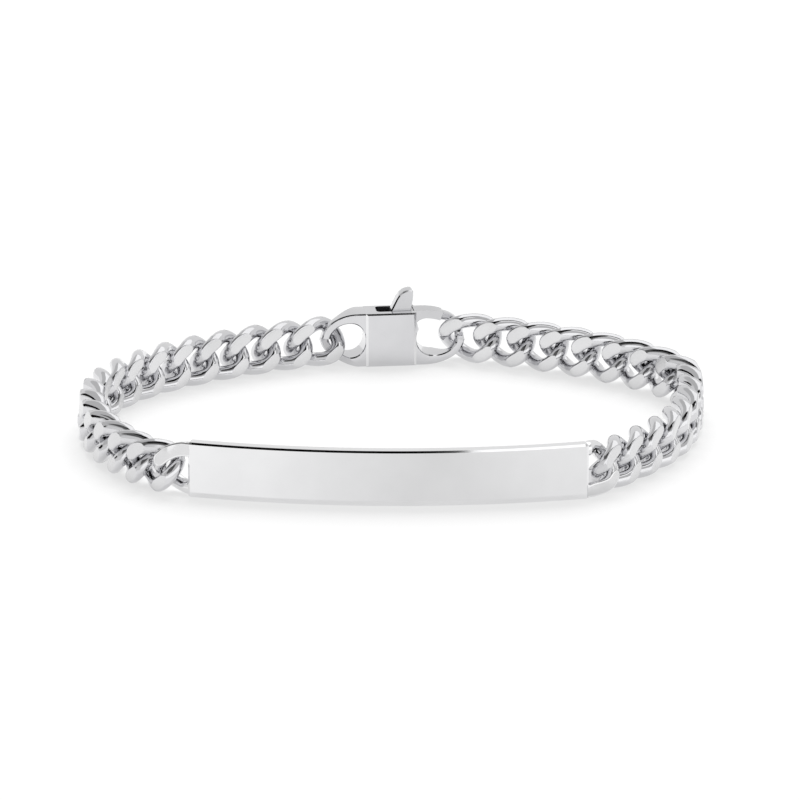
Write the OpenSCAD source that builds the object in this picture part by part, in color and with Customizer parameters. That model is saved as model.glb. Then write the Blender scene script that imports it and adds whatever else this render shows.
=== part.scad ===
// Identity bracelet: a curved name plate, two runs of flat twisted curb links and a
// box clasp with a sprung gate, fastened into one loop that stands on its lower edge.
// Frame: +Z up, the floor at z = 0, the plate at the front (-Y), the clasp at the back (+Y),
// and the origin under the middle of the loop.  All lengths are millimetres.

/* [Loop] */
// Width of the whole loop, from side to side
loop_width = 68.7; // [68:0.1:71]
// Depth of the whole loop, from the plate's face to the back of the clasp's right eye
loop_depth = 56.85; // [56.05:0.1:58.55]

/* [Plate] */
// Length of the plate, straight across from end to end
plate_length = 42.8; // [40:0.1:45]
// Height of the plate
plate_height = 6.1; // [5.8:0.05:6.6]
// Thickness of the plate
plate_thickness = 1.5; // [1.3:0.05:1.8]
// How far the plate's middle stands forward of its ends
plate_bow = 2.95; // [2:0.05:4]
// Width of the bevel along the plate's edges
plate_bevel = 0.12; // [0.05:0.01:0.25]
// Where the plate's middle lies, left (-) or right (+) of the loop's middle
plate_offset = 0; // [-1:0.05:1]
// Length of the half link at each end, from the plate to its tip
half_link_length = 4; // [3.9:0.05:4.2]
// Turn of the left half link from the plate's own end, towards the wrist
left_turn = 3.5; // [2:0.5:8]
// Turn of the right half link from the plate's own end, towards the wrist
right_turn = 29.5; // [26:0.5:30]

/* [Links] */
// Diameter of the wire
wire_d = 1.5; // [1.4:0.05:1.55]
// Height of a link
link_height = 5.65; // [5.5:0.05:5.9]
// Number of full links on each side
links_each_side = 16; // [15:1:17]
// How far the wire's middle swings to each side of the link's own plane
link_twist = 0.98; // [0.9:0.01:1.05]
// Thickness of the chain between its two ground faces
link_thickness = 2.8; // [2.6:0.05:3]
// Free play between two hooked links
link_play = 0.16; // [0.15:0.01:0.2]

/* [Clasp] */
// Length of the clasp's box
box_length = 5.75; // [5.6:0.05:6.2]
// Height of the clasp's box
box_height = 6.2; // [6.15:0.05:6.4]
// Thickness of the clasp's box
box_thickness = 3.75; // [3.5:0.05:4.2]
// Height of the two eyes beside the box
eye_height = 6.1; // [5.8:0.05:6.15]
// Length from the box's middle to the far end of the left eye
eye_left = 7.95; // [7.7:0.05:8.2]
// Length from the box's middle to the far end of the right eye
eye_right = 8.45; // [8.2:0.05:8.6]
// Length of the eyes' straight arms, from the box to where they start to curve
arm_length = 0.95; // [0.6:0.05:1.2]
// Thickness of the eyes' flat arms, front to back
arm_thickness = 3.15; // [2.9:0.05:3.4]
// Width of the eyes' metal, seen from the front
arm_height = 1; // [0.9:0.05:1.1]
// Where the clasp's middle lies, left (-) or right (+) of the loop's middle
clasp_offset = -0.72; // [-1.92:0.04:1]
// Turn of the clasp about the upright axis
clasp_turn = 7.5; // [0:0.5:10]

/* [Lever] */
// Thickness of the lever, front to back
lever_thickness = 2.1; // [1.9:0.05:2.3]
// How far the lever lies behind the middle of the box
lever_setback = 0.25; // [0:0.05:0.3]
// Height of the lever's gate arm
gate_height = 0.9; // [0.8:0.05:1.05]
// Gap between the gate's tip and the eye's nose
gate_gap = 0.08; // [0.06:0.01:0.15]
// Angle round the right eye at which the nose ends and the gate begins
nose_angle = 60; // [56:1:62]
// Height of the thumb tab's tip above the floor
tab_top = 8.6; // [8:0.05:9]
// Length of the thumb tab along the clasp
tab_length = 2.75; // [2.5:0.05:2.8]
// How far the thumb tab can be pulled back in its slot
tab_travel = 1.6; // [1.5:0.05:1.7]
// Diameter of the hidden pivot pin
pin_d = 1; // [0.8:0.05:1.2]
// Height of the pivot pin above the floor
pin_height = 3.1; // [2.9:0.05:3.3]
// Radial clearance of the pin in its bores
pin_clearance = 0.03; // [0.02:0.01:0.05]
// Clearance of the lever in its slot
lever_clearance = 0.08; // [0.06:0.01:0.12]

/* [Hidden] */
$fn = 64;

silver = "#d9dadc";
pin_steel = "#9fa2a6";

// The two runs of chain, seen in plan.  Each is two curves that meet at the run's outermost
// point, so each row holds that point's height as a share of the loop's depth, the headings
// at the clasp and at the plate, and four handle lengths as shares of the loop's depth:
// at the clasp, behind and before the outermost point, and at the plate.
//     side  bulge  at clasp  at plate  handles
runs = [
    [-1, -0.045, 25, 22, [0.12, 0.3, 0.19, 0.05]],
    [1, 0.1, 16, 54, [0.16, 0.17, 0.27, 0.2]]
];
side = [for (run = runs) run[0]];

function turned(p, a) = [p[0] * cos(a) - p[1] * sin(a), p[0] * sin(a) + p[1] * cos(a)];
function unit(v) = v / norm(v);

wire_r = wire_d / 2;
// From the tip of a half link, or of an eye, to the middle of its hold on the first link
half_link_hook = wire_d + link_play / 2;
eye_hook = arm_height + 1.2 * link_play;
// Half of the eyes' thickness at their far ends, and of the nose at its tip, a little less
// than the wire's and the lever's own
eye_thinning = 0.27;
eye_end_r = wire_r - eye_thinning;
nose_thinning = 0.45;
nose_tip_r = lever_thickness / 2 - nose_thinning;

// The plate's curve on its outer face, and its ends
plate_radius = plate_length * plate_length / (8 * plate_bow) + plate_bow / 2;
plate_half_angle = asin(plate_length / 2 / plate_radius);
plate_centre = [plate_offset, plate_radius - loop_depth / 2];
function half_link_turn(s) = s < 0 ? left_turn : right_turn;
function half_link_heading(s) = plate_half_angle + half_link_turn(s);
// Straight piece of a half link beside the plate
half_link_reach = 0.35;

function plate_end(s) = plate_centre
    + (plate_radius - plate_thickness / 2) * [s * sin(plate_half_angle), -cos(plate_half_angle)];
function plate_hold(s) = plate_end(s)
    + (half_link_length - half_link_hook) * [s * cos(half_link_heading(s)), sin(half_link_heading(s))];

// The clasp's middle in plan, with its back corner a little in front of the right eye's back
eye_overhang = 0.34;
clasp_centre = [
    clasp_offset,
    loop_depth / 2 - eye_overhang
        - box_thickness / 2 * cos(clasp_turn) - box_length / 2 * sin(abs(clasp_turn))
];
function clasp_hold(s) = clasp_centre
    + turned([s * ((s < 0 ? eye_left : eye_right) - eye_hook), 0], clasp_turn);

// A run's line in plan, from the clasp to the plate, as two cubic curves
curve_steps = 60;
function cubic(p, q, r, s, t) =
    pow(1 - t, 3) * p + 3 * t * pow(1 - t, 2) * q + 3 * t * t * (1 - t) * r + pow(t, 3) * s;
function run_line(run) =
    let (
        s = run[0],
        start = clasp_hold(s),
        bulge = [s * (loop_width - link_thickness) / 2, run[1] * loop_depth],
        end = plate_hold(s),
        handle = run[4] * loop_depth,
        leave = start + handle[0] * [s * cos(run[2]), -sin(run[2])],
        behind = bulge + [0, handle[1]],
        before = bulge - [0, handle[2]],
        arrive = end + handle[3] * [s * cos(run[3]), sin(run[3])]
    )
    concat(
        [for (i = [0 : curve_steps - 1]) cubic(start, leave, behind, bulge, i / curve_steps)],
        [for (i = [0 : curve_steps]) cubic(bulge, before, arrive, end, i / curve_steps)]
    );

// Running length along a line, and points at equal distances along it
function lengths(line) = [
    for (i = 0, sum = 0; i < len(line); i = i + 1,
        sum = sum + (i < len(line) ? norm(line[i] - line[i - 1]) : 0)) sum
];
function spaced(line, sum, count) =
    let (
        last = len(line) - 1,
        xs = [for (i = [0 : last]) [sum[i], line[i][0]]],
        ys = [for (i = [0 : last]) [sum[i], line[i][1]]]
    )
    [for (i = [0 : count])
        let (at = sum[last] * i / count) [lookup(at, xs), lookup(at, ys)]];

lines = [for (run = runs) run_line(run)];
sums = [for (line = lines) lengths(line)];
holds = [for (i = [0, 1]) spaced(lines[i], sums[i], links_each_side)];

function link_name(i, n) = str("link_", i == 0 ? "l" : "r", n < 10 ? "0" : "", n);

// Swept wire.  A link's own axes are u along the chain, v up and w out of its plane; its
// middle line is an oval in u and v that swings by the twist in w, so that the upper left
// and lower right quarters stand forward, from whichever side the chain is seen.
link_rings = 16;
function oval_point(a, b, t) = [a * cos(t), b * sin(t), -link_twist * sin(2 * t)];
function oval_way(a, b, t) = unit([-a * sin(t), b * cos(t), -2 * link_twist * cos(2 * t)]);

// Six points round the wire, cut flat where the wire passes a face at w = +-face
function wire_ring(c, way, r, face) =
    let (
        out_w = unit([0, 0, 1] - way[2] * way),
        across = cross(way, out_w),
        full = r * sin(60),
        up = min(full, (face - c[2]) / out_w[2]),
        down = min(full, (face + c[2]) / out_w[2]),
        top = sqrt(r * r - up * up),
        bottom = sqrt(r * r - down * down)
    )
    [for (q = [[r, 0], [top, up], [-top, up], [-r, 0], [-bottom, -down], [bottom, -down]])
        c + q[0] * across + q[1] * out_w];

// Eight points round a flat arm with blunted corners
blunt_share = 0.25;
function arm_ring(c, way, half, up, down) =
    let (
        out_w = unit([0, 0, 1] - way[2] * way),
        across = cross(way, out_w),
        blunt = half * blunt_share
    )
    [for (q = [
        [half, up - blunt], [half - blunt, up], [blunt - half, up], [-half, up - blunt],
        [-half, blunt - down], [blunt - half, -down], [half - blunt, -down], [half, blunt - down]
    ]) c + q[0] * across + q[1] * out_w];

// Joins rings of points into one closed solid, with flat ends unless it runs round
module sweep_rings(rings, runs_round) {
    count = len(rings);
    sides = len(rings[0]);
    points = [for (ring = rings) for (p = ring) [p[0], -p[2], p[1]]];
    last = runs_round ? count - 1 : count - 2;
    skin = [
        for (i = [0 : last]) for (k = [0 : sides - 1])
            let (
                j = (i + 1) % count,
                m = (k + 1) % sides,
                a = i * sides + k,
                b = i * sides + m,
                c = j * sides + m,
                d = j * sides + k
            )
            each [[a, b, c], [a, c, d]]
    ];
    caps = runs_round ? [] : [
        for (k = [1 : sides - 2])
            each [[0, k + 1, k],
                [(count - 1) * sides, (count - 1) * sides + k, (count - 1) * sides + k + 1]]
    ];
    polyhedron(points = points, faces = concat(skin, caps), convexity = 6);
}

// One full link, standing on the floor at the origin
module link(step) {
    a = (step + wire_d + link_play) / 2;
    b = (link_height - wire_d) / 2;
    translate([0, 0, link_height / 2])
        sweep_rings(
            [for (i = [0 : link_rings - 1])
                let (t = 360 * i / link_rings)
                wire_ring(oval_point(a, b, t), oval_way(a, b, t), wire_r, link_thickness / 2)],
            true
        );
}

// The link between two holds of one run
module run_link(i, n) {
    from = holds[i][n - 1];
    to = holds[i][n];
    way = to - from;
    color(silver)
        translate([(from[0] + to[0]) / 2, (from[1] + to[1]) / 2, 0])
            rotate(atan2(way[1], way[0]))
                link(norm(way));
}

// Half link that is soldered to the plate, with its open ends a little way inside the plate
root_depth = 0.4;
root_drop = 0.05;
module half_link(s) {
    a = half_link_length - half_link_reach - wire_r;
    b = (plate_height - wire_d) / 2 - root_drop;
    lean = s * half_link_turn(s);
    root = [-half_link_reach - root_depth * cos(lean), 0, -root_depth * sin(lean)];
    root_way = [cos(lean), 0, sin(lean)];
    turn_steps = link_rings / 2;
    translate([half_link_reach, 0, plate_height / 2])
        sweep_rings(
            concat(
                [wire_ring(root - [0, b, 0], root_way, wire_r, link_thickness / 2)],
                [for (i = [0 : turn_steps])
                    let (t = 180 * i / turn_steps - 90)
                    wire_ring(oval_point(a, b, t), oval_way(a, b, t), wire_r, link_thickness / 2)],
                [wire_ring(root + [0, b, 0], -root_way, wire_r, link_thickness / 2)]
            ),
            false
        );
}

// The name plate: a curved strip with bevelled edges and a half link at each end
module id_plate() {
    color(silver) {
        translate([plate_centre[0], plate_centre[1], 0])
            rotate(-90 - plate_half_angle)
                rotate_extrude(angle = 2 * plate_half_angle, $fn = 256)
                    translate([plate_radius - plate_thickness, 0])
                        bevelled(plate_thickness, plate_height, plate_bevel);
        for (s = side)
            translate([plate_end(s)[0], plate_end(s)[1], 0])
                rotate(s > 0 ? half_link_heading(s) : 180 - half_link_heading(s))
                    half_link(s);
    }
}

// A rectangle with its corners cut off
module bevelled(w, h, bevel) {
    polygon([
        [bevel, 0], [w - bevel, 0], [w, bevel], [w, h - bevel],
        [w - bevel, h], [bevel, h], [0, h - bevel], [0, bevel]
    ]);
}

// Outline of a clasp eye in the clasp's own plane, its inward offset and its twisted arm
box_half = box_length / 2;
eye_start = box_half + arm_length;
function eye_span(s) = (s < 0 ? eye_left : eye_right) - eye_start;
function eye_offset(s, t, inset) =
    let (a = eye_span(s), b = eye_height / 2)
    [s * eye_start + a * cos(t), b * sin(t)] - inset * unit([b * cos(t), a * sin(t)]);
function eye_way_at(s, t) =
    unit([-eye_span(s) * sin(t), eye_height / 2 * cos(t), -2 * link_twist * cos(2 * t)]);

// The arm is broad from front to back at the box and narrows to the eye's far end
arm_power = 8;
function eye_ring(s, t, w, way) =
    let (
        spread = pow(abs(sin(t)), arm_power),
        half = arm_height / 2,
        thick = eye_end_r + (arm_thickness / 2 - eye_end_r) * spread,
        p = eye_offset(s, t, half),
        rise = unit([0, 0, 1] - way[2] * way)[2],
        up = min(thick, (arm_thickness / 2 - w) / rise),
        down = min(thick, (arm_thickness / 2 + w) / rise)
    )
    arm_ring([p[0], p[1], w], way, half, up, down);

// A straight piece of arm that roots the eye in the box
function root_ring(s, v_side, way) =
    let (half = arm_height / 2)
    arm_ring(
        [s * box_half / 2, v_side * (eye_height / 2 - half), 0], way,
        half, arm_thickness / 2, arm_thickness / 2
    );

module left_eye() {
    turn_steps = 12;
    sweep_rings(
        concat(
            [root_ring(-1, 1, [-1, 0, 0])],
            [eye_ring(-1, 90, 0, [-1, 0, 0])],
            [for (i = [1 : turn_steps - 1])
                let (t = 90 + 180 * i / turn_steps)
                eye_ring(-1, t, -link_twist * sin(2 * t), eye_way_at(-1, t))],
            [eye_ring(-1, 270, 0, [1, 0, 0])],
            [root_ring(-1, -1, [1, 0, 0])]
        ),
        false
    );
}

// The right eye is open: its nose ends at the gate, as thick as the gate there
module right_eye() {
    turn_steps = 6;
    nose_steps = 4;
    sweep_rings(
        concat(
            [root_ring(1, -1, [1, 0, 0])],
            [eye_ring(1, -90, 0, [1, 0, 0])],
            [for (i = [1 : turn_steps])
                let (t = 90 * i / turn_steps - 90)
                eye_ring(1, t, -link_twist * sin(2 * t), eye_way_at(1, t))],
            [for (i = [1 : nose_steps])
                let (t = nose_angle * i / nose_steps)
                nose_ring(t)]
        ),
        false
    );
}

// Wire ring between the eye's far end and the nose's tip, in line with the gate at the tip
function nose_ring(t) =
    let (
        share = t / nose_angle,
        w = -link_twist * sin(180 * share) - lever_setback * share,
        half = arm_height / 2 + (gate_height - arm_height) / 2 * share,
        thick = eye_end_r + (nose_tip_r - eye_end_r) * share,
        p = eye_offset(1, t, half),
        way = unit([-eye_span(1) * sin(t), eye_height / 2 * cos(t), 0])
    )
    arm_ring([p[0], p[1], w], way, half, min(thick, arm_thickness / 2 - w),
        min(thick, arm_thickness / 2 + w));

// Lever outline in the clasp's own plane, above the floor
mid_height = box_height / 2;
pin_x = 0.8;
hub_wall = 0.75;
hub_r = pin_d / 2 + hub_wall;
gate_top = mid_height + eye_height / 2;
tab_left = -0.1;
tab_right = tab_left + tab_length;
tab_bow = 0.12;
tab_foot_depth = 0.3;
tip_half = 0.65;
tip_rise = 0.35;
tab_lean = 0.2;
slot_left = tab_left - tab_travel;
slot_width = lever_thickness + 2 * lever_clearance;
slot_wall = 0.65;
slot_right = box_half - slot_wall;
gate_tip_angle = nose_angle + gate_gap / norm([eye_span(1), eye_height / 2]) * 90;

// Points of an arc that bows by a given height over the line from p to q
function bowed(p, q, bow, steps) =
    let (
        chord = q - p,
        across = unit([-chord[1], chord[0]])
    )
    [for (i = [0 : steps]) let (t = i / steps) p + t * chord + 4 * t * (1 - t) * bow * across];

module lever_outline() {
    gate_steps = 6;
    gate_angles = [for (i = [0 : gate_steps]) 90 + (gate_tip_angle - 90) * i / gate_steps];
    raise = [0, mid_height];
    gate_under = gate_top - gate_height;
    tip_middle = [tab_right - tip_half, tab_top - tip_rise];
    difference() {
        polygon(concat(
            // Thumb tab, a fin with a leaning left edge and a round tip
            bowed([tab_left, gate_top - tab_foot_depth], tip_middle - [tip_half, 0], tab_bow, 8),
            [for (t = [165 : -15 : 0]) tip_middle + [tip_half * cos(t), tip_rise * sin(t)]],
            [[tab_right - tab_lean, gate_top]],
            // Gate arm, out along the eye's outline and back along its own underside
            [for (t = gate_angles) eye_offset(1, t, 0) + raise],
            [for (i = [gate_steps : -1 : 0])
                eye_offset(1, gate_angles[i], gate_height) + raise],
            // Body in the box, down to the hub round the pivot
            [[slot_right - lever_clearance, gate_under]],
            [for (t = [0 : -15 : -180]) [pin_x, pin_height] + hub_r * [cos(t), sin(t)]]
        ));
        translate([pin_x, pin_height])
            circle(pin_d / 2 + pin_clearance);
    }
}

// Places what is drawn in the clasp's own frame
module in_clasp() {
    translate([clasp_centre[0], clasp_centre[1], 0])
        rotate(clasp_turn)
            children();
}

// Stands an outline drawn in x and z up, centred on the lever's own plane
module upright(thickness) {
    translate([0, lever_setback + thickness / 2, 0])
        rotate([90, 0, 0])
            linear_extrude(thickness)
                children();
}

pin_cover = 0.45;
pin_front = -box_thickness / 2 + pin_cover;
pin_back = box_thickness / 2;

// Room inside the box that the eyes' arms don't reach into
module eye_stop() {
    arm_root = 0.5;
    cube([box_length - 2 * arm_root, box_thickness - 2 * arm_root, box_height], center = true);
}

module clasp_body() {
    floor_z = pin_height - hub_r - lever_clearance;
    color(silver) in_clasp() {
        difference() {
            translate([-box_half, -box_thickness / 2, 0])
                cube([box_length, box_thickness, box_height]);
            // Slot for the lever, rounded at its left end
            translate([0, lever_setback, floor_z]) linear_extrude(box_height) {
                translate([slot_left + slot_width / 2, 0])
                    circle(slot_width / 2);
                translate([slot_left + slot_width / 2, -slot_width / 2])
                    square([slot_right - slot_left - slot_width / 2, slot_width]);
            }
            // Way out for the gate arm at the right
            translate([0, lever_setback - slot_width / 2, gate_top - gate_height - lever_clearance])
                cube([box_length, slot_width, box_height]);
            // Bore for the pivot pin, open at the back and blind at the front
            translate([pin_x, pin_back + 1, pin_height])
                rotate([90, 0, 0])
                    cylinder(r = pin_d / 2 + pin_clearance, h = pin_back + 1 - pin_front);
        }
        translate([0, 0, mid_height]) {
            difference() {
                left_eye();
                eye_stop();
            }
            difference() {
                right_eye();
                eye_stop();
            }
        }
    }
}

module clasp_lever() {
    color(silver) in_clasp()
        upright(lever_thickness)
            lever_outline();
}

module clasp_pin() {
    end_clearance = 0.05;
    color(pin_steel) in_clasp()
        translate([pin_x, pin_back, pin_height])
            rotate([90, 0, 0])
                cylinder(d = pin_d, h = pin_back - pin_front - end_clearance);
}

id_plate();
clasp_body();
clasp_lever();
clasp_pin();
for (i = [0, 1])
    for (n = [1 : links_each_side])
        run_link(i, n);
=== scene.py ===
# Identity bracelet in polished silver: a bowed name plate, two runs of twisted curb links and a
# box clasp with a sprung gate, fastened into one loop that stands on its lower edge.
import math

import bpy
import numpy as np
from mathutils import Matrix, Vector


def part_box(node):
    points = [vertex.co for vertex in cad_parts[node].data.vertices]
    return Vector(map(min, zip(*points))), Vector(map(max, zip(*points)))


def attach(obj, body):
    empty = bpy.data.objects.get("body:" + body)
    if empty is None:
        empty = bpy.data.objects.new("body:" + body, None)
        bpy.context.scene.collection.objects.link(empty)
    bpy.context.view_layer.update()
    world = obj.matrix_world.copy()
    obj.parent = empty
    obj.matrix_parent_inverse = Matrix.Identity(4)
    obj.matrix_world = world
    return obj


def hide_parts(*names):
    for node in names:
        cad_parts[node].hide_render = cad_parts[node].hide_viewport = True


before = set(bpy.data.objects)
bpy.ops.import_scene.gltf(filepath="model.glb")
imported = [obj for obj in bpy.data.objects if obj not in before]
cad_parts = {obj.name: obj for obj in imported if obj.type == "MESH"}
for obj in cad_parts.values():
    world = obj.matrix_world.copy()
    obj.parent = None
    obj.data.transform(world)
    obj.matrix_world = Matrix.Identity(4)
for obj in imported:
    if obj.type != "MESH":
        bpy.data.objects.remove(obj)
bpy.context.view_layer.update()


# Name plate: a strip of sterling silver, rolled, bowed to the wrist and polished, left bare.
# Its edges are eased with a file, and half a curb link is soldered to each end.  Here and
# below, sizes are in millimetres up to the stage, and a side is -1 for left and 1 for right.
loop_depth = 56.85
plate_length = 42.8
plate_height = 6.1
plate_thickness = 1.5
plate_bow = 2.95
plate_edge = 0.2
plate_end_edge = 0.12
plate_radius = plate_length ** 2 / (8 * plate_bow) + plate_bow / 2
plate_half = math.asin(plate_length / 2 / plate_radius)
plate_centre = np.array([0, plate_radius - loop_depth / 2])
wire_radius = 0.8
ground_half = 1.4
ground_lean = 0.12
edge_radius = 0.22
edge_points = 6
arc_points = 9
link_twist = 1.05
half_link_length = 4.12
half_link_turn = {-1: math.radians(3.5), 1: math.radians(29.5)}
root_length = 0.35
root_depth = 0.4
root_offset = 0.35
root_inset = 0.05
root_sink = 0.03


def unit(v):
    """Each vector divided by its own length."""
    return v / np.linalg.norm(v, axis=-1, keepdims=True)


def turned(points, heading, centre):
    """Points turned about the upright axis by the heading, in radians, and moved to the centre."""
    c, s = math.cos(heading), math.sin(heading)
    x = points[..., 0] * c - points[..., 1] * s + centre[0]
    y = points[..., 0] * s + points[..., 1] * c + centre[1]
    return np.stack([x, y, points[..., 2]], axis=-1)


def skin(points, runs_round=False, kinds=None):
    """A grid of rings as one closed shell of quads: each point is joined to the next in its
    ring and to the same two points of the next ring, and an open grid gets two flat ends."""
    rings, sides = points.shape[:2]
    at = np.arange(rings * sides).reshape(rings, sides)
    here = at if runs_round else at[:-1]
    after = np.roll(at, -1, axis=0) if runs_round else at[1:]
    quads = np.stack([here, np.roll(here, -1, 1), np.roll(after, -1, 1), after], axis=-1)
    if kinds is None:
        kinds = np.zeros(here.shape, int)
    faces = quads.reshape(-1, 4)
    p = points.reshape(-1, 3)
    a, b, c, d = (p[faces[:, k]] for k in range(4))
    volume = np.einsum("ij,ij->", a, np.cross(b, c)) + np.einsum("ij,ij->", a, np.cross(c, d))
    ends = [] if runs_round else [at[0][::-1], at[-1]]
    faces = [f.tolist() for f in faces] + [e.tolist() for e in ends]
    if volume < 0:
        faces = [f[::-1] for f in faces]
    return p, faces, kinds.reshape(-1).tolist() + [0] * len(ends)


def metal_piece(name, shells, finishes, node, body="bracelet"):
    """Shells in millimetres as one object in metres that stands for a CAD node and moves with
    the body, smooth except where two faces meet at more than the crease angle."""
    crease = math.radians(27)
    points, faces, kinds, start = [], [], [], 0
    for p, f, k in shells:
        points.append(p)
        faces += [[i + start for i in corners] for corners in f]
        kinds += k
        start += len(p)
    mesh = bpy.data.meshes.new(name)
    mesh.from_pydata(np.concatenate(points) * 0.001, [], faces)
    mesh.polygons.foreach_set("material_index", kinds)
    mesh.polygons.foreach_set("use_smooth", [True] * len(faces))
    mesh.set_sharp_from_angle(angle=crease)
    piece = bpy.data.objects.new(name, mesh)
    bpy.context.collection.objects.link(piece)
    for finish in finishes:
        mesh.materials.append(finish)
    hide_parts(node)
    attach(piece, body)


def linear(hex_colour):
    """An sRGB hex colour as linear red, green, blue and alpha."""
    s = [int(hex_colour[i:i + 2], 16) / 255 for i in (1, 3, 5)]
    return [v / 12.92 if v <= 0.04045 else ((v + 0.055) / 1.055) ** 2.4 for v in s] + [1]


def add_node(tree, kind, values, links, **settings):
    """One node with its settings, its own socket values and the sockets linked to it."""
    made = tree.nodes.new(kind)
    for setting, value in settings.items():
        setattr(made, setting, value)
    for socket, value in values.items():
        made.inputs[socket].default_value = value
    for socket, source in links.items():
        tree.links.new(source, made.inputs[socket])
    return made


def silver(name, bright, dull, gloss, haze, grain_mm, depth_mm):
    """Sterling silver: a metal whose colour and gloss drift a little between two values, with
    the fine marks that its last polish left, which are grain_mm apart and depth_mm deep."""
    drift_mm = 6
    drift_low, drift_high = 0.35, 0.65
    made = bpy.data.materials.new(name)
    made.use_nodes = True
    tree = made.node_tree
    tree.nodes.clear()
    place = add_node(tree, "ShaderNodeTexCoord", {}, {})
    cloud = add_node(tree, "ShaderNodeTexNoise", {"Scale": 1000 / drift_mm, "Detail": 3},
                     {"Vector": place.outputs["Object"]})
    tint = add_node(tree, "ShaderNodeValToRGB", {}, {"Fac": cloud.outputs["Fac"]})
    tint.color_ramp.elements[0].position = drift_low
    tint.color_ramp.elements[0].color = linear(dull)
    tint.color_ramp.elements[1].position = drift_high
    tint.color_ramp.elements[1].color = linear(bright)
    sheen = add_node(tree, "ShaderNodeMapRange",
                     {"From Min": drift_low, "From Max": drift_high,
                      "To Min": haze, "To Max": gloss},
                     {"Value": cloud.outputs["Fac"]})
    marks = add_node(tree, "ShaderNodeTexNoise", {"Scale": 1000 / grain_mm, "Detail": 2},
                     {"Vector": place.outputs["Object"]})
    relief = add_node(tree, "ShaderNodeBump", {"Strength": 1, "Distance": depth_mm * 0.001},
                      {"Height": marks.outputs["Fac"]})
    shader = add_node(tree, "ShaderNodeBsdfPrincipled", {"Metallic": 1},
                      {"Base Color": tint.outputs["Color"], "Roughness": sheen.outputs["Result"],
                       "Normal": relief.outputs["Normal"]})
    add_node(tree, "ShaderNodeOutputMaterial", {}, {"Surface": shader.outputs["BSDF"]})
    return made


# Sterling silver polished on a cloth mop gives the plate clear, slightly soft reflections.
# The same brighter silver on the box's side bevels is a painted highlight.
plate_silver_and_bevel_highlight = silver("plate_silver_and_painted_bevel_highlight", "#EFEFF0", "#EAEAEB", 0.06, 0.1, 0.5, 0.0004)
# Silver wire barrelled with steel shot is as glossy; its colour is painted a little darker
# than the plate's, as painted shade for the links' dimmer reflections.
shot_polished = silver("shot_polished_silver", "#DDDDDF", "#D5D5D7", 0.06, 0.1, 0.4, 0.0004)
# Silver ground on a lap stays hazier, with fine marks that blur what it mirrors. Its colour
# is painted darker than the plate's, like the links', as painted shade.
facet_silver_painted_shade = silver("facet_silver_darker_painted_shade", "#DFDFE0", "#D8D8D9", 0.14, 0.2, 0.12, 0.0006)


def wire_skin(line, ground, runs_round):
    """Round wire along a line, cut flat where it passes the ground faces in front of the
    link's middle and behind it, with the edges of the flats rounded over: each ring is an arc
    of the wire, an edge, a flat, an edge, and the same again.  A flat of some width is kind 1."""
    shallowest = 0.998 * wire_radius
    steepest = math.radians(70)
    ahead = np.roll(line, -1, 0) - np.roll(line, 1, 0)
    if not runs_round:
        ahead = np.gradient(line, axis=0)
    way = unit(ahead)
    out = unit(np.array([0, 0, 1]) - way[:, 2:] * way)
    across = np.cross(way, out)
    halves = []
    for sign in (1, -1):
        lift = np.clip((ground - sign * line[:, 2]) / out[:, 2], 0, shallowest)[:, None]
        rise = lift - edge_radius
        flat = np.sqrt(np.maximum((wire_radius - edge_radius) ** 2 - rise ** 2, 0))
        tilt = np.arctan2(rise, flat)
        turn = tilt + (math.pi / 2 - tilt) * np.linspace(0, 1, edge_points)
        x = np.concatenate([flat + edge_radius * np.cos(turn), 0 * flat,
                            -flat - edge_radius * np.cos(turn[:, ::-1])], axis=1)
        y = np.concatenate([rise + edge_radius * np.sin(turn), lift,
                            rise + edge_radius * np.sin(turn[:, ::-1])], axis=1)
        halves.append((tilt, x, sign * y))
    (up, x_up, y_up), (down, x_down, y_down) = halves
    arc = -down + (up + down) * np.linspace(0, 1, arc_points + 2)[1:-1]
    x = np.concatenate([wire_radius * np.cos(arc), x_up, -wire_radius * np.cos(arc[:, ::-1]),
                        x_down[:, ::-1]], axis=1)
    y = np.concatenate([wire_radius * np.sin(arc), y_up, wire_radius * np.sin(arc[:, ::-1]),
                        y_down[:, ::-1]], axis=1)
    points = line[:, None] + x[..., None] * across[:, None] + y[..., None] * out[:, None]
    upper = arc_points + edge_points - 1
    lower = upper + arc_points + 2 * edge_points + 1
    kinds = np.zeros(x.shape, int)
    kinds[:, upper:upper + 2] = up < steepest
    kinds[:, lower:lower + 2] = down < steepest
    if not runs_round:
        kinds = kinds[:-1]
    upright = np.stack([points[..., 0], -points[..., 2], points[..., 1]], axis=-1)
    return upright, kinds


def oval(a, b, t):
    """Middle line of a twisted link: an oval a by b that swings out of its plane by the twist
    times the sine of twice the angle."""
    return np.stack([a * np.cos(t), b * np.sin(t), -link_twist * np.sin(2 * t)], axis=-1)


def ground_face(line):
    """Distance of the ground faces from the link's middle, along its line: they lean, so that
    more is ground away at the top of the link than at its foot."""
    return ground_half - ground_lean * line[:, 1] / abs(line[:, 1]).max()


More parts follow.
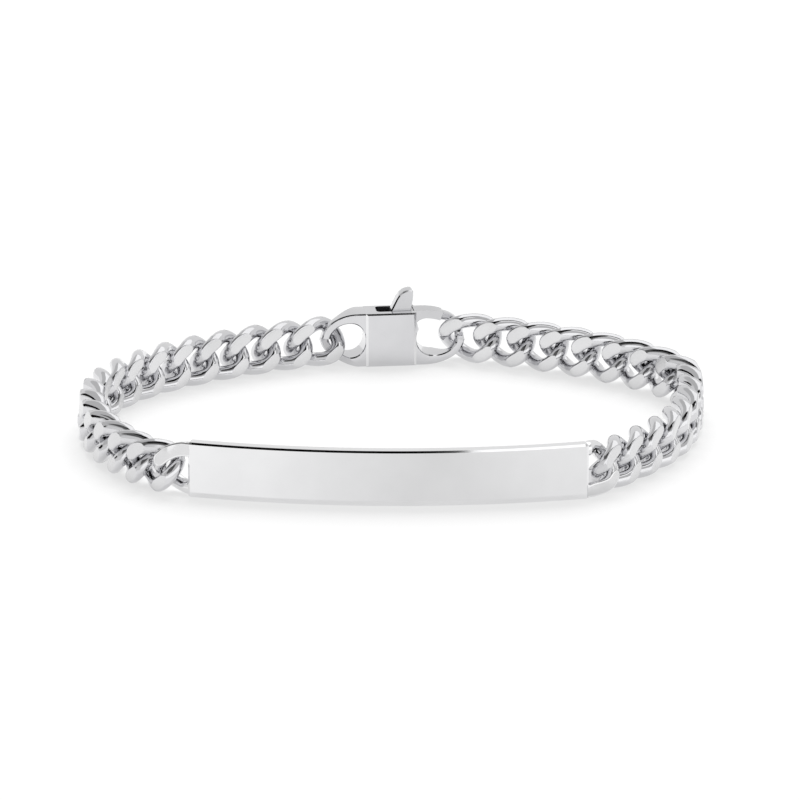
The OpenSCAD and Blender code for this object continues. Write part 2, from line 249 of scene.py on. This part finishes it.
def plate_skin():
    """The strip: a rectangle with its corners cut off, carried along an arc about the plate's
    centre of curvature, and drawn in by a narrower bevel at both ends."""
    angle = np.linspace(-plate_half, plate_half, 97)
    angle = np.concatenate([angle[:1], angle[:1] + plate_edge / plate_radius, angle[1:-1],
                            angle[-1:] - plate_edge / plate_radius, angle[-1:]])
    inset = np.zeros(len(angle))
    inset[[0, -1]] = plate_end_edge
    side_x = np.array([1, 1, 1, 1, -1, -1, -1, -1])
    side_z = np.array([-1, -1, 1, 1, 1, 1, -1, -1])
    cut_x = np.array([1, 0, 0, 1, 1, 0, 0, 1])
    cut_z = 1 - cut_x
    edge = (plate_edge - inset)[:, None]
    half_t = plate_thickness / 2 - inset[:, None]
    half_h = plate_height / 2 - inset[:, None]
    r = plate_radius - plate_thickness / 2 + side_x * (half_t - cut_x * edge)
    z = plate_height / 2 + side_z * (half_h - cut_z * edge)
    x = plate_centre[0] + r * np.sin(angle)[:, None]
    y = plate_centre[1] - r * np.cos(angle)[:, None]
    return np.stack([x, y, z], axis=-1)


def half_link_skin(side):
    """Half an oval of ground wire with two straight roots that run into the plate's end.  On a
    smooth step over the last 45 degrees before each root, the wire moves off its middle, one
    root to the front and one to the back, and its ground faces come down to the plate's."""
    turn = half_link_turn[side]
    step_from = 45
    a = half_link_length - root_length - wire_radius
    b = plate_height / 2 - wire_radius - root_inset
    t = np.radians(np.linspace(-90, 90, 49))
    near = np.clip((abs(np.degrees(t)) - step_from) / (90 - step_from), 0, 1)
    near = near * near * (3 - 2 * near)
    bend = oval(a, b, t)
    bend[:, 2] -= np.sign(t) * root_offset * near
    root = np.array([-root_length - root_depth * math.cos(turn), 0,
                     -root_depth * math.sin(side * turn)])
    line = np.concatenate([[root + [0, -b, root_offset]], bend, [root + [0, b, -root_offset]]])
    flush = np.concatenate([[1], near, [1]])
    ground = ground_face(line) * (1 - flush) + (plate_thickness / 2 - root_sink) * flush
    points, kinds = wire_skin(line, ground, False)
    points = points + [root_length, 0, plate_height / 2]
    heading = plate_half + turn
    end = plate_centre + (plate_radius - plate_thickness / 2) * np.array(
        [side * math.sin(plate_half), -math.cos(plate_half)])
    points = turned(points, heading if side > 0 else math.pi - heading, end)
    return skin(points, False, kinds)


metal_piece("name_plate", [skin(plate_skin()), half_link_skin(-1), half_link_skin(1)],
            [plate_silver_and_bevel_highlight, facet_silver_painted_shade], "id_plate")


# Curb links: ovals of round silver wire, twisted a quarter turn so that they lie in line, then
# ground flat on both faces.  Each is placed and sized by the CAD link that it stands for.
link_height = 5.65
cad_wire_radius = 0.75
cad_play = 0.16
hook_room = 0.05


def link_skin(node):
    """A closed oval of ground wire between the two ends of the CAD link's own box, along the
    direction in which its corners spread the most."""
    low, high = np.array(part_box(node)) * 1000
    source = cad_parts[node].data
    corners = np.empty(len(source.vertices) * 3)
    source.vertices.foreach_get("co", corners)
    corners = np.unique(np.round(corners.reshape(-1, 3) * 1000, 3), axis=0)[:, :2]
    centre = (low + high)[:2] / 2
    spread = np.linalg.eigh(np.cov((corners - centre).T))[1][:, 1]
    half = abs((corners - centre) @ spread).max()
    t = np.radians(np.arange(0, 360, 4))
    pitch = 2 * (half - 2 * cad_wire_radius) - cad_play
    line = oval(pitch / 2 + wire_radius + hook_room, link_height / 2 - wire_radius, t)
    points, kinds = wire_skin(line, ground_face(line), True)
    points = points + [0, 0, link_height / 2]
    return skin(turned(points, math.atan2(spread[1], spread[0]), centre), True, kinds)


for node in sorted(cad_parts):
    if node.startswith("link_"):
        metal_piece("curb_" + node, [link_skin(node)], [shot_polished, facet_silver_painted_shade], node)


# Clasp body: a box milled from silver with a slot in its top, and an eye soldered on each side
# by two flat arms that flare into it.  The right eye is open, and its nose ends at the gate.
box_length = 5.75
box_height = 6.2
box_thickness = 3.75
box_half = box_length / 2
box_bevel = (0.27, 0.17)
box_bevel_depth = 0.17
arm_start = box_half + 0.95
arm_thickness = 3.4
arm_height = 1.0
arm_root = 2.2
arm_rise = 2.4
arm_taper = 8
arm_edge = 0.15
eye_height = 6.18
eye_reach = {-1: 7.95, 1: 8.45}
eye_end = 0.52
eye_end_edge = 0.35
hole_start = box_half + 0.02
hole_lean = 0.2
hole_inset = 0.1
hole_power = 0.92
nose_angle = 60
nose_thickness = 1.2
gate_height = 0.95
gate_top = box_height / 2 + eye_height / 2
lever_thickness = 2.1
lever_setback = 0.25
lever_gap = 0.08
pin_x = 0.8
pin_height = 3.1
hub_radius = 1.25
slot_left = -1.55
slot_right = box_half - 0.65
slot_width = lever_thickness + 2 * lever_gap
slot_front = lever_setback - slot_width / 2
slot_back = lever_setback + slot_width / 2
slot_corner = 0.5
clasp_turn = math.radians(7.5)
clasp_centre = (-0.72, loop_depth / 2 - 0.34 - box_thickness / 2 * math.cos(clasp_turn)
                - box_half * math.sin(clasp_turn))

# Sterling silver buffed on a wheel: the clasp is glossy, and its colour is painted slightly
# darker than the plate's, as painted shade for its dimmer reflections.
clasp_silver_painted_shade = silver("clasp_silver_darker_painted_shade", "#D8D8DA", "#D0D0D2", 0.06, 0.1, 0.4, 0.0004)
# Silver inside the slot, left matt: its colour is painted dark grey, as painted shade in the
# deep recess where little light reaches.
slot_shade_silver = silver("slot_silver_painted_shade", "#5C5C5E", "#4A4A4C", 0.4, 0.5, 0.3, 0.002)


def eye_edge(side, t, inset):
    """Points on an eye's outer ellipse at the angles t, moved in along its normal by the inset."""
    span, b = eye_reach[side] - arm_start, eye_height / 2
    c, s = np.cos(t), np.sin(t)
    edge = np.stack([arm_start + span * c, b * s], axis=-1)
    return edge - inset * unit(np.stack([b * c, span * s], axis=-1))


def eye_lines(side, t, nose):
    """The inner and the outer line of an eye at the angles t.  Beyond the arms the outer one is
    an ellipse, and at the box it runs straight on into the box.  The hole is an ellipse, blunter
    at the box, and the nose keeps the outer ellipse on both its sides."""
    c, s = np.cos(t), np.sin(t)
    far = c > 1e-9
    b = eye_height / 2
    hole_end = eye_reach[side] - arm_height
    hole_middle = (hole_start + hole_end) / 2 - hole_lean
    hole_half = np.where(far, hole_end - hole_middle, hole_middle - hole_start)
    power = np.where(far, 1, hole_power)
    hole = np.stack([hole_middle + hole_half * np.sign(c) * abs(c) ** power,
                     (b - arm_height - hole_inset) * np.sign(s) * abs(s) ** power], axis=-1)
    nose_height = (arm_height + (gate_height - arm_height) * nose)[:, None]
    inner = np.where((nose > 0)[:, None], eye_edge(side, t, nose_height), hole)
    in_box = np.stack([arm_start - arm_root * (1 - abs(s)),
                       b * np.sign(s) * np.minimum(1, arm_rise * abs(s))], axis=-1)
    outer = np.where(far[:, None], eye_edge(side, t, 0), in_box)
    return inner, outer


def eye_faces(t, nose):
    """The front and the back of an eye at the angles t.  The arms are flat and of one thickness.
    Beyond them the metal thins to the eye's end and swings out of its plane as a link does, but
    stays within the arms' two planes and fills up to the nearer one.  The nose swings the same
    way once, and ends in line with the gate."""
    end_angle = math.radians(5)
    far = np.cos(t) > 1e-9
    rise = abs(np.sin(t))
    plane = arm_thickness / 2
    thick = eye_end + (plane - eye_end) * np.where(far, rise ** arm_taper, 1)
    thick = np.where(nose > 0, eye_end + (nose_thickness / 2 - eye_end) * nose, thick)
    swing = np.where(far, -link_twist * np.sin(2 * t), 0)
    swing = np.where(nose > 0, -link_twist * np.sin(math.pi * nose) - lever_setback * nose, swing)
    broad = far & (rise > math.sin(end_angle)) & (nose == 0)
    front = np.where(broad & (swing >= 0), plane, np.minimum(plane, swing + thick))
    back = np.where(broad & (swing <= 0), -plane, np.maximum(-plane, swing - thick))
    return front, back


def eye_skin(side, first, last):
    """An eye as a loop of metal, from the first angle round its hole to the last, in degrees:
    at each angle a rectangle between its inner and outer line and its front and back, whose
    corners are bevelled along the arms and turn round and larger at the far end."""
    t = np.radians(np.linspace(first, last, 96))
    nose = np.clip(np.degrees(t) - 360, 0, nose_angle) / nose_angle
    inner, outer = eye_lines(side, t, nose)
    middle = (inner + outer) / 2
    across = unit(outer - inner)
    half = np.linalg.norm(outer - inner, axis=1, keepdims=True) / 2
    front, back = (face[:, None] for face in eye_faces(t, nose))
    round_until, crisp_from = 0.15, 0.5
    crisp = np.clip((abs(np.sin(t)) - round_until) / (crisp_from - round_until), 0, 1)
    crisp = np.where(np.cos(t) > 1e-9, crisp, 1)[:, None]
    edge = arm_edge + (eye_end_edge - arm_edge) * (1 - crisp)
    edge = np.minimum(edge, 0.9 * np.minimum(half, (front - back) / 2))
    bevel, quarter_round = np.array([1, 0.985, 0.1, 0]), np.cos(np.radians([0, 30, 60, 90]))
    cx = crisp * bevel + (1 - crisp) * quarter_round
    cy = cx[:, ::-1]
    x = np.concatenate([half - edge + edge * cx, edge - half - edge * cx[:, ::-1],
                        edge - half - edge * cx, half - edge + edge * cx[:, ::-1]], axis=1)
    w = np.concatenate([front - edge + edge * cy, front - edge + edge * cy[:, ::-1],
                        back + edge - edge * cy, back + edge - edge * cy[:, ::-1]], axis=1)
    points = middle[:, None] + x[..., None] * across[:, None]
    upright = np.stack([side * points[..., 0], -side * w, points[..., 1] + box_height / 2],
                       axis=-1)
    return turned(upright, clasp_turn, clasp_centre)


def prism(outline, axis_map, low, high, inset=(0, 0), depth=0):
    """An outline carried straight from low to high, as one block with two flat ends, which
    shrink by the two insets over the last stretch of the given depth."""
    span = outline.max(axis=0) - outline.min(axis=0)
    middle = (outline.max(axis=0) + outline.min(axis=0)) / 2
    small = middle + (outline - middle) * (1 - 2 * np.array(inset) / span)
    stops = [(small, low), (outline, low + depth), (outline, high - depth), (small, high)]
    if not depth:
        stops = stops[1:3]
    rings = [np.column_stack([edge, np.full(len(edge), w)]) for edge, w in stops]
    return skin(np.stack(rings)[..., axis_map])


def block_mesh(shell, name):
    """One shell as a bare mesh object in millimetres, for carving."""
    mesh = bpy.data.meshes.new(name)
    mesh.from_pydata(shell[0], [], shell[1])
    made = bpy.data.objects.new(name, mesh)
    bpy.context.collection.objects.link(made)
    return made


def carved(shell, cutters, bevel=0):
    """The points and faces of a shell with the cutters taken away and its sharp edges eased by
    a small bevel."""
    block = block_mesh(shell, "block")
    tools = [block_mesh(cutter, "cutter") for cutter in cutters]
    for tool in tools:
        cut = block.modifiers.new("cut", "BOOLEAN")
        cut.operation = "DIFFERENCE"
        cut.solver = "EXACT"
        cut.object = tool
    if bevel:
        ease = block.modifiers.new("ease", "BEVEL")
        ease.width = bevel
        ease.segments = 1
        ease.limit_method = "ANGLE"
        ease.angle_limit = math.radians(35)
    scene_now = bpy.context.evaluated_depsgraph_get()
    done = block.evaluated_get(scene_now).to_mesh()
    points = np.empty(len(done.vertices) * 3)
    done.vertices.foreach_get("co", points)
    faces = [list(p.vertices) for p in done.polygons]
    for old in [block] + tools:
        bpy.data.objects.remove(old)
    return points.reshape(-1, 3), faces


def slot_outline():
    """The slot seen from above: a rectangle whose two left corners are quarter circles."""
    turn = np.radians(np.linspace(90, 180, 9))
    upper = np.column_stack([slot_left + slot_corner * (1 + np.cos(turn)),
                             slot_back - slot_corner * (1 - np.sin(turn))])
    lower = upper[::-1] * [1, -1] + [0, slot_front + slot_back]
    return np.concatenate([upper, lower, [[slot_right, slot_front], [slot_right, slot_back]]])


def box_shell():
    """The box, bevelled round its front and its back, less the slot for the hub and the
    shallower way out for the gate, with a kind for each face: 2 where the cutter went, painted
    dark grey as painted shade in the slot, and 3 on the left and right bevels, painted with the
    plate's brighter silver as a painted highlight."""
    front = np.array([[-box_half, 0], [box_half, 0], [box_half, box_height],
                      [-box_half, box_height]])
    beyond = 1
    way_left, way_right = 0.5, box_half + beyond
    way_out = np.array([[way_left, slot_front], [way_right, slot_front],
                        [way_right, slot_back], [way_left, slot_back]])
    above = box_height + beyond
    points, faces = carved(
        prism(front, [0, 2, 1], -box_thickness / 2, box_thickness / 2, box_bevel,
              box_bevel_depth),
        [prism(slot_outline(), [0, 1, 2], pin_height - hub_radius - lever_gap, above),
         prism(way_out, [0, 1, 2], gate_top - gate_height - lever_gap, above)])
    x, y, z = np.array([points[corners].mean(axis=0) for corners in faces]).T
    # Faces inside the slot take the dark silver: painted shade in the recess.
    painted_slot_shade = ((abs(y - lever_setback) < slot_width / 2 + 0.02) & (z < box_height - 0.02)
              & (z > 1) & (abs(x) < box_half - 0.01))
    # Faces on the side bevels take the plate's brighter silver: a painted highlight.
    painted_bevel_highlight = ((abs(abs(x) - box_half + box_bevel[0] / 2) < 0.03)
                & (abs(y) > box_thickness / 2 - box_bevel_depth + 0.01))
    return turned(points, clasp_turn, clasp_centre), faces, (2 * painted_slot_shade + 3 * painted_bevel_highlight).tolist()


metal_piece("clasp_box",
            [box_shell(),
             skin(eye_skin(-1, 0, 356.25), True),
             skin(eye_skin(1, 150, 360 + nose_angle))],
            [clasp_silver_painted_shade, facet_silver_painted_shade, slot_shade_silver, plate_silver_and_bevel_highlight], "clasp_body")


# Clasp lever: one flat sprung piece of silver with a thumb tab, a hub round the hidden pin and
# a gate arm that closes the right eye.  It is sawn from sheet and its edges are eased.
tab_left, tab_right = 0.25, 2.42
tab_foot = 5.9
tab_middle = 1.7
gate_edge = 0.1
heel_length, heel_height = 1.3, 0.8
heel_step = 0.2

# Sterling silver rolled hard to be springy, then buffed: glossy, and its colour is painted a
# shade darker than the box's, as painted shade.
lever_silver_painted_shade = silver("lever_silver_darker_painted_shade", "#CFCFD1", "#C7C7C9", 0.06, 0.1, 0.4, 0.0004)


def lever_outline():
    """The lever seen from the front: along the gate's top and the eye's outer ellipse to the
    nose, back along the gate's underside, round the heel's bend into the slot, and round the
    hub by half a circle.  A quarter of the ellipse is about as long as the line across it."""
    across_quarter = math.hypot(eye_reach[1] - arm_start, eye_height / 2)
    gate = np.radians(np.linspace(90, nose_angle + 90 * lever_gap / across_quarter, 15))
    hub = np.radians(np.linspace(0, -180, 25))
    bend = np.radians(np.linspace(0, 85, 9))
    lift = [0, box_height / 2]
    under = gate_top - gate_height
    heel = box_half + lever_gap
    return np.concatenate([
        [[tab_left, gate_top], [tab_right, gate_top]],
        eye_edge(1, gate, 0) + lift,
        eye_edge(1, gate[::-1], gate_height)[:-1] + lift,
        np.column_stack([heel + heel_length * (1 - np.sin(bend)),
                         under - heel_height * (1 - np.cos(bend))]),
        [[heel, under], [slot_right, under], [slot_right - lever_gap, under - heel_step]],
        np.column_stack([pin_x + hub_radius * np.cos(hub), pin_height + hub_radius * np.sin(hub)]),
    ])


def smooth_line(points, steps):
    """A curve that passes through all of the points, with the given steps between each two: a
    cubic between two points whose slope at each is half the way from one neighbour to the other."""
    p = np.concatenate([[2 * points[0] - points[1]], points, [2 * points[-1] - points[-2]]])
    t = np.linspace(0, 1, steps, endpoint=False)[:, None]
    bends = [0.5 * ((2 * b) + (c - a) * t + (2 * a - 5 * b + 4 * c - d) * t ** 2
                    + (3 * b - a - 3 * c + d) * t ** 3)
             for a, b, c, d in zip(p[:-3], p[1:-2], p[2:-1], p[3:])]
    return np.concatenate(bends + [points[-1:]])


def tab_skin():
    """The thumb tab: a fin with a leaning left edge and a round tip, sawn from the lever's own
    thickness, with its front edge bevelled and its back edge rounded: each ring is the fin's
    outline, moved in towards the middle of its foot."""
    outline = smooth_line(np.array([
        [-0.1, tab_foot], [0.17, 6.4], [0.5, 7.05], [0.88, 7.75], [1.25, 8.22], [1.7, 8.48],
        [2.2, 8.6], [2.5, 8.55], [2.66, 8.3], [2.6, 7.5], [2.46, 6.5], [tab_right, tab_foot]]), 5)
    middle = np.array([tab_middle, tab_foot])
    away = outline - middle
    depth = lever_thickness / 2
    rings = []
    for y, inset in ((-depth, 0.15), (0.2 - depth, 0), (0.3, 0), (depth - 0.25, 0.06),
                     (depth - 0.07, 0.17), (depth, 0.32)):
        ring = middle + away * (1 - inset / np.linalg.norm(away, axis=1, keepdims=True))
        rings.append(np.column_stack([ring[:, 0], np.full(len(ring), y + lever_setback),
                                      np.maximum(ring[:, 1], tab_foot)]))
    return turned(np.stack(rings), clasp_turn, clasp_centre)


lever_points, lever_faces = carved(
    prism(lever_outline(), [0, 2, 1], lever_setback - lever_thickness / 2,
          lever_setback + lever_thickness / 2), [], gate_edge)
lever_shell = (turned(lever_points, clasp_turn, clasp_centre), lever_faces,
               [0] * len(lever_faces))
metal_piece("clasp_gate", [lever_shell, skin(tab_skin())], [lever_silver_painted_shade], "clasp_lever", "lever")


# Pivot pin: a short piece of hard steel wire, cut to length, on which the lever turns.  It is
# pressed into the box from the back, where its end shows in the bore.
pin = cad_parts["clasp_pin"]
# Steel drawn through a die: darker than the silver round it, and half matt from the drawing.
drawn_steel = silver("drawn_steel", "#A9ABAE", "#9A9CA0", 0.25, 0.35, 0.2, 0.0008)
for slot_at in range(len(pin.material_slots)):
    pin.material_slots[slot_at].material = drawn_steel


# Stage, in metres: a floor of grey paper lit to white, a tent of lit cloth that is brightest at
# the front right, and a softbox above the back.  Black, grey and lit cards, seen only in the
# reflections, draw the dark and bright lines on the edges.
card_height = 0.6
tent_radius = 1.6
tent_height = 0.95


def stage_sheet(name, corners, colour):
    """A flat sheet of matt card or paper through its corners."""
    mesh = bpy.data.meshes.new(name)
    mesh.from_pydata(corners, [], [list(range(len(corners)))])
    made = bpy.data.materials.new(name + "_paper")
    made.use_nodes = True
    shader = made.node_tree.nodes["Principled BSDF"]
    shader.inputs["Base Color"].default_value = linear(colour)
    shader.inputs["Roughness"].default_value = 0.9
    shader.inputs["Specular IOR Level"].default_value = 0
    mesh.materials.append(made)
    sheet = bpy.data.objects.new(name, mesh)
    bpy.context.collection.objects.link(sheet)
    return sheet


def glow(sheet, strength):
    """Lets a sheet glow evenly."""
    shader = sheet.active_material.node_tree.nodes["Principled BSDF"]
    shader.inputs["Emission Color"].default_value = (1, 1, 1, 1)
    shader.inputs["Emission Strength"].default_value = strength


def level(plan, height):
    """Corners given in plan, all at the same height."""
    return [(x, y, height) for x, y in plan]


def card(name, corners):
    """A black card through its corners, seen only in the bracelet's reflections."""
    made = stage_sheet(name, corners, "#0A0A0A")
    made.visible_camera = False
    made.visible_diffuse = False
    made.visible_shadow = False
    return made


glow(stage_sheet("floor", level([(-3, -3), (3, -3), (3, 3), (-3, 3)], 0), "#929292"), 0.62)

card("card_above", level([(-0.27, -0.3), (0.05, -0.3), (0.1, -0.17), (0.1, 0), (-0.27, 0)],
                         card_height))
card("card_left", [(-0.8, -0.3, 0.12), (-0.8, 0.35, 0.12), (-0.8, 0.35, 0.45),
                   (-0.8, -0.3, 0.45)])
glow(card("softbox_back", level([(-0.1, 0.04), (0.7, 0.04), (0.7, 0.95), (-0.1, 0.95)],
                                card_height)), 1.25)
glow(card("strip_right", level([(0.085, -0.24), (0.3, -0.24), (0.3, -0.12), (0.11, -0.12)],
                               card_height)), 1.3)
glow(card("grey_card", level([(-0.6, -0.66), (-0.09, -0.66), (0.1, -0.17), (0.3, -0.1),
                              (0.3, 0.03), (-0.6, 0.03)], card_height + 0.01)), 0.12)


def painted_reflection_card():
    """A glowing sheet on the floor before the plate, seen only in reflections: the plate mirrors
    it from edge to edge, and its tone falls and rises again along the plate. It is a painted
    reflection of light and shade, darkest a little right of the plate's middle and brightest
    towards its left end."""
    height, gap = 0.3, 0.9
    half_width, shoulder, far_edge = 60, -28, -80
    ramp_half = 0.03
    angle = np.linspace(-plate_half, plate_half, 25)
    near = plate_radius + gap
    plan = np.concatenate([
        np.column_stack([near * np.sin(angle), plate_centre[1] - near * np.cos(angle)]),
        [[half_width, shoulder], [half_width, far_edge], [-half_width, far_edge],
         [-half_width, shoulder]]]) * 0.001
    paper = card("painted_reflection_card", level(plan.tolist(), height * 0.001))
    tree = paper.active_material.node_tree
    place = add_node(tree, "ShaderNodeTexCoord", {}, {})
    parts = add_node(tree, "ShaderNodeSeparateXYZ", {}, {"Vector": place.outputs["Object"]})
    along = add_node(tree, "ShaderNodeMapRange", {"From Min": -ramp_half, "From Max": ramp_half},
                     {"Value": parts.outputs["X"]})
    tone = add_node(tree, "ShaderNodeValToRGB", {}, {"Fac": along.outputs["Result"]})
    ramp = tone.color_ramp
    ramp.interpolation = "B_SPLINE"
    ramp.elements.remove(ramp.elements[0])
    for at, value in ((0.08, 1.03), (0.24, 0.97), (0.42, 0.86), (0.58, 0.76), (0.7, 0.83),
                      (0.82, 0.9)):
        ramp.elements.new(at).color = (value, value, value, 1)
    ramp.elements[-1].color = (0.93, 0.93, 0.93, 1)
    shader = tree.nodes["Principled BSDF"]
    tree.links.new(tone.outputs["Color"], shader.inputs["Emission Color"])
    shader.inputs["Emission Strength"].default_value = 1


painted_reflection_card()


def tent_wall(name, first, last, strength):
    """A stretch of the tent's wall: lit cloth along an arc around the stage, from the first
    angle to the last, in degrees."""
    turn = np.radians(np.arange(first, last + 5, 5))
    foot = np.column_stack([tent_radius * np.cos(turn), tent_radius * np.sin(turn), 0 * turn])
    head = foot + [0, 0, tent_height]
    n = len(turn)
    mesh = bpy.data.meshes.new(name)
    here = np.arange(n - 1)
    mesh.from_pydata(np.concatenate([foot, head]), [],
                     np.column_stack([here, here + n, here + n + 1, here + 1]).tolist())
    cloth = bpy.data.materials.new("lit_cloth")
    cloth.use_nodes = True
    tree = cloth.node_tree
    tree.nodes.clear()
    light = add_node(tree, "ShaderNodeEmission", {"Color": (1, 1, 1, 1), "Strength": strength}, {})
    add_node(tree, "ShaderNodeOutputMaterial", {}, {"Surface": light.outputs["Emission"]})
    mesh.materials.append(cloth)
    wall = bpy.data.objects.new(name, mesh)
    bpy.context.collection.objects.link(wall)


tent_wall("tent_left", -180, -105, 0.8)
tent_wall("tent_right", -105, 0, 1.25)
tent_wall("tent_back", 0, 180, 0.86)

ceiling = bpy.data.worlds.new("grey_ceiling")
ceiling.use_nodes = True
ceiling.node_tree.nodes["Background"].inputs["Color"].default_value = (1, 1, 1, 1)
ceiling.node_tree.nodes["Background"].inputs["Strength"].default_value = 0.6
bpy.context.scene.world = ceiling

softbox_back, softbox_up = 0.9, 1.2
softbox = bpy.data.lights.new("softbox", "AREA")
softbox.shape = "RECTANGLE"
softbox.size = 1.2
softbox.size_y = 1.2
softbox.energy = 27
softbox_at = bpy.data.objects.new("softbox", softbox)
softbox_at.location = (0, softbox_back, softbox_up)
softbox_at.rotation_euler = (-math.atan2(softbox_back, softbox_up), 0, 0)
softbox_at.visible_glossy = False
softbox_at.visible_camera = False
bpy.context.collection.objects.link(softbox_at)


# Camera: a long lens a little above the bracelet, in front of the plate and turned a little to
# one side, far enough away that the front and the back of the loop show almost one scale.
def camera():
    """A camera on a straight line through the aim point, turned so that its top stays up."""
    aim = np.array([0.0007, 0.0108, 0])
    az, el, distance = math.radians(0.86), math.radians(16.8), 0.781
    look = np.array([-math.sin(az) * math.cos(el), math.cos(az) * math.cos(el), -math.sin(el)])
    lens = bpy.data.cameras.new("camera")
    lens.sensor_width = 36
    lens.lens = 314.5
    made = bpy.data.objects.new("camera", lens)
    made.location = aim - look * distance
    made.rotation_euler = (math.pi / 2 - el, 0, az)
    bpy.context.collection.objects.link(made)
    return made


bpy.context.scene.camera = camera()
bpy.context.scene.view_settings.view_transform = "Standard"
